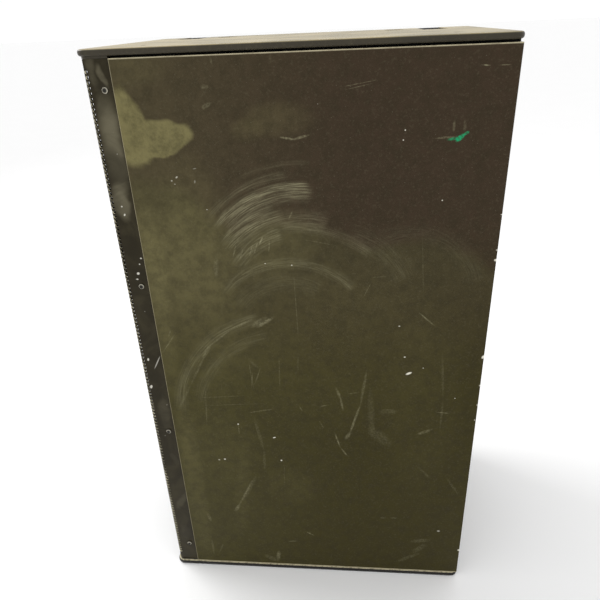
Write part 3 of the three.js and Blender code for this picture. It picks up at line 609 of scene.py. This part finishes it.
def dress_fittings():
    plastic = moulded("black_plastic", (0.012, 0.012, 0.013), (0.035, 0.035, 0.034), 0.5)
    zinc = metal("zinc_plate", (0.34, 0.33, 0.3), (0.62, 0.6, 0.55), 0.28, 900.0)
    dressed(plastic, "waveguide", *nodes_like("handle_cup"), edge=0.0009)
    sockets = moulded("socket_plastic", (0.012, 0.02, 0.034), (0.03, 0.045, 0.07), 0.32)
    dressed(sockets, *nodes_like("speaker_socket"), edge=0.0005)
    dressed(circuit_board(), "crossover_board")
    dressed(zinc, *nodes_like("link_axle", "lock_pin"), smooth=50.0)
    dark_screw = metal("screw_oxide", (0.03, 0.029, 0.026), (0.08, 0.076, 0.066), 0.4, 500.0)
    screws = nodes_like("grille_screw")
    dressed(dark_screw, *screws, smooth=30.0)
    brighten_chamfers(metal("screw_rim", (0.12, 0.11, 0.085), (0.55, 0.52, 0.42), 0.32, 500.0), screws)
    dressed(metal("black_oxide", (0.03, 0.03, 0.032), (0.09, 0.088, 0.085), 0.34, 500.0),
            *[n for n in nodes_like("link_") if not n.startswith("link_axle")], edge=0.0005)


# ---- The perforated grille ----
class Folded:
    """A flat sheet of quads that is folded round the cabinet's front edges as its points are added."""

    def __init__(self, low, high):
        self.low, self.high = low, high
        self.points, self.faces, self.known = [], [], {}
        self.rims = []  # the numbers of the faces that get the bright rim colour: rubbed paint and a painted highlight
        self.flat = (high.y - low.y) / 2 - GRILLE_BEND
        self.neutral = GRILLE_BEND - GRILLE_SHEET / 2
        self.end = self.flat + self.neutral * math.pi / 2 + (high.x - low.x) - GRILLE_BEND

    def place(self, across, z, depth):
        """A point of the sheet: across is from its middle, depth is from its outer face."""
        side = math.copysign(1.0, across)
        beyond = abs(across) - self.flat
        middle = (self.low.y + self.high.y) / 2
        if beyond <= 0:
            return self.low.x + depth, middle + across, z
        turn = min(beyond / self.neutral, math.pi / 2)
        straight = beyond - turn * self.neutral
        radius = GRILLE_BEND - depth
        x = self.low.x + GRILLE_BEND - radius * math.cos(turn) + straight
        return x, middle + side * (self.flat + radius * math.sin(turn)), z

    def point(self, across, z, depth):
        key = (round(across, 6), round(z, 6), depth)
        if key not in self.known:
            self.known[key] = len(self.points)
            self.points.append(self.place(*key))
        return self.known[key]

    def face(self, outline):
        """The same outline on the outer and the inner face; anticlockwise with across to the right, z up."""
        self.faces.append([self.point(a, z, 0.0) for a, z in reversed(outline)])
        self.faces.append([self.point(a, z, GRILLE_SHEET) for a, z in outline])

    def wall(self, line, bright_rim=False):
        """The sheet's thickness along a line of points that has the sheet on its left."""
        for (a, z), (b, y) in zip(line, line[1:]):
            if bright_rim:
                self.rims.append(len(self.faces))
            corners = [(a, z, 0.0), (b, y, 0.0), (b, y, GRILLE_SHEET), (a, z, GRILLE_SHEET)]
            self.faces.append([self.point(*corner) for corner in corners])


def hole_cell(sheet, left, bottom):
    """A cell of the pattern, one row wide and one pitch high, with a hole of eight sides in its middle."""
    right, top = left + ROW_PITCH, bottom + HOLE_PITCH
    centre, level = left + ROW_PITCH / 2, bottom + HOLE_PITCH / 2
    outer = [(right, level), (right, top), (centre, top), (left, top),
             (left, level), (left, bottom), (centre, bottom), (right, bottom)]
    turns = [i * math.pi / 4 for i in range(8)]
    inner = [(centre + HOLE_RADIUS * math.cos(t), level + HOLE_RADIUS * math.sin(t)) for t in turns]
    for i in range(8):
        j = (i + 1) % 8
        sheet.face([inner[i], outer[i], outer[j], inner[j]])
    # the hole walls past the bends get the bright rim colour, for rubbed paint and a painted highlight where
    # they catch the light
    sheet.wall([*reversed(inner), inner[-1]], bright_rim=abs(centre) > sheet.flat)


def hole_row(sheet, left, right, start, level, low, high):
    """A row of holes from the bottom of the sheet to its top, with the plain margins below and above it."""
    rows = (len(level) - 1 - start) // 2
    for row in range(rows):
        hole_cell(sheet, left, level[start + 2 * row])
    centre = (left + right) / 2
    sides = [level[0]] if start else []
    above = level[start + 2 * rows:]
    sheet.face([(left, low), (right, low), *[(right, z) for z in sides], (right, level[start]),
                (centre, level[start]), (left, level[start]), *[(left, z) for z in sides]])
    sheet.face([(left, high), *[(left, z) for z in reversed(above)], (centre, above[0]),
                *[(right, z) for z in above], (right, high)])
    sheet.wall([(right, low), (left, low)])
    sheet.wall([(left, high), (right, high)])


def flange(sheet, edge, heights):
    """The plain strip from the last row of holes to the end of the fold."""
    inner, outer = sorted((edge, math.copysign(sheet.end, edge)))
    for z, above in zip(heights, heights[1:]):
        sheet.face([(inner, z), (outer, z), (outer, above), (inner, above)])
        if edge < 0:
            sheet.wall([(-sheet.end, z), (-sheet.end, above)])
        else:
            sheet.wall([(sheet.end, above), (sheet.end, z)])
    sheet.wall([(outer, heights[0]), (inner, heights[0])])
    sheet.wall([(inner, heights[-1]), (outer, heights[-1])])


def grille():
    """The folded front, with its holes in staggered rows past the bends and plain margins round them."""
    low_corner, high_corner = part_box("front_grille")
    low, high = low_corner.z, high_corner.z
    first = low + GRILLE_BOTTOM_MARGIN
    steps = int((high - GRILLE_TOP_MARGIN - first) / (HOLE_PITCH / 2))
    level = [first + i * HOLE_PITCH / 2 for i in range(steps + 1)]
    edges = [(k - HOLE_ROWS / 2) * ROW_PITCH for k in range(HOLE_ROWS + 1)]
    paint, rim = grille_paint(), edge_wear_and_highlight("grille_rim", (0.8, 0.75, 0.55))
    for part in range(GRILLE_PARTS):
        sheet = Folded(low_corner, high_corner)
        for k in range(part * HOLE_ROWS // GRILLE_PARTS, (part + 1) * HOLE_ROWS // GRILLE_PARTS):
            hole_row(sheet, edges[k], edges[k + 1], k % 2, level, low, high)
        if part == 0:
            flange(sheet, edges[0], [low, *level, high])
        if part == GRILLE_PARTS - 1:
            flange(sheet, edges[-1], [low, *level, high])
        made = mesh_object(f"grille_{part + 1}", sheet.points, sheet.faces, paint)
        made.data.materials.append(rim)
        for face in sheet.rims:
            made.data.polygons[face].material_index = 1
        made.data.set_sharp_from_angle(angle=math.radians(35))
        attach(made, CABINET)
        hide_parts("front_grille")


# ---- The woofers' rubber surrounds, in sectors ----
def surround_profile(width):
    """(x from the seat, distance in from the outer edge) round a half roll between two flat lips."""
    middle, roll = width / 2, width / 2 - SURROUND_LIP
    turns = [math.pi * (0.06 + 0.88 * i / 10) for i in range(11)]

    def arc(radius, angles):
        return [(-radius * math.sin(t), middle + radius * math.cos(t)) for t in angles]

    front = arc(roll + 2 * SURROUND_RUBBER / 3, turns)
    back = arc(roll - SURROUND_RUBBER / 3, reversed(turns))
    lip = -SURROUND_RUBBER
    return [(0.0, width), (lip, width), *front, (lip, 0.0), (0.0, 0.0), *back]


def surround(place, rubber):
    """A half roll of rubber, in sectors round the woofer."""
    node = f"woofer_surround_{place}"
    low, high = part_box(node)
    centre = Vector((high.x, (low.y + high.y) / 2, (low.z + high.z) / 2))
    outer = (high.y - low.y) / 2
    profile = surround_profile(SURROUND_WIDTH)
    count = len(profile)
    for sector in range(SURROUND_SECTORS):
        points, faces = [], []
        for step in range(SURROUND_STEPS + 1):
            turn = math.tau * (sector + step / SURROUND_STEPS - 0.5) / SURROUND_SECTORS
            across = Vector((0, math.cos(turn), math.sin(turn)))
            points += [centre + Vector((x, 0, 0)) + across * (outer - inwards) for x, inwards in profile]
        for first in range(0, SURROUND_STEPS * count, count):
            for i in range(count):
                a, b = first + i, first + (i + 1) % count
                faces.append([a, a + count, b + count, b])
        made = mesh_object(f"surround_{place}_{sector + 1}", points, faces, rubber)
        made.data.set_sharp_from_angle(angle=math.radians(50))
        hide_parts(node)
        turn = math.tau * sector / SURROUND_SECTORS
        across = Vector((0, math.cos(turn), math.sin(turn)))
        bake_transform(made)


def surrounds():
    """Both woofers' surrounds."""
    rubber = moulded("surround_rubber", (0.01, 0.01, 0.01), (0.024, 0.024, 0.023), 0.6)
    for place in ("lower", "upper"):
        surround(place, rubber)


def mesh_object(name, points, faces, material):
    mesh = bpy.data.meshes.new(name)
    mesh.from_pydata(points, [], faces)
    mesh.polygons.foreach_set("use_smooth", [True] * len(mesh.polygons))
    mesh.materials.append(material)
    mesh.validate()
    made = bpy.data.objects.new(name, mesh)
    bpy.context.scene.collection.objects.link(made)
    return made


# ---- Stage ----
def floor():
    size = 60.0
    corners = [(-size, -size, 0), (size, -size, 0), (size, size, 0), (-size, size, 0)]
    made = mesh_object("floor", corners, [[0, 1, 2, 3]], pale_floor())
    made.location.z = CAD_BOX[0].z - 0.0005


def area_light(name, place, target, size, power):
    light = bpy.data.lights.new(name, "AREA")
    light.size = size
    light.energy = power
    made = bpy.data.objects.new(name, light)
    made.location = place
    direction = Vector(target) - Vector(place)
    made.rotation_euler = direction.to_track_quat("-Z", "Y").to_euler()
    bpy.context.scene.collection.objects.link(made)


def lights():
    world = bpy.data.worlds.new("studio")
    world.use_nodes = True
    background = world.node_tree.nodes["Background"]
    background.inputs["Color"].default_value = (1.0, 1.0, 1.0, 1.0)
    background.inputs["Strength"].default_value = 1.03
    bpy.context.scene.world = world
    bpy.context.scene.view_settings.view_transform = "Standard"
    area_light("key", (-2.0, 0.7, 2.3), (0, 0, 0.5), 1.4, 40)


def camera():
    yaw, pitch, roll = (math.radians(a) for a in (CAMERA_YAW, CAMERA_PITCH, CAMERA_ROLL))
    ahead = Vector((-math.sin(yaw) * math.cos(pitch), math.cos(yaw) * math.cos(pitch), -math.sin(pitch)))
    right = Vector((math.cos(yaw), math.sin(yaw), 0.0))
    up = right.cross(ahead)
    right, up = right * math.cos(roll) + up * math.sin(roll), up * math.cos(roll) - right * math.sin(roll)
    data = bpy.data.cameras.new("camera")
    data.lens = CAMERA_LENS
    data.clip_start = 0.02
    made = bpy.data.objects.new("camera", data)
    turned = Matrix((right, up, -ahead)).transposed().to_4x4()
    made.matrix_world = Matrix.Translation(CAMERA_PLACE) @ turned
    bpy.context.scene.collection.objects.link(made)
    bpy.context.scene.camera = made


camera()
lights()
floor()
dress_cabinet()
dress_drivers()
dress_fittings()
grille()
surrounds()
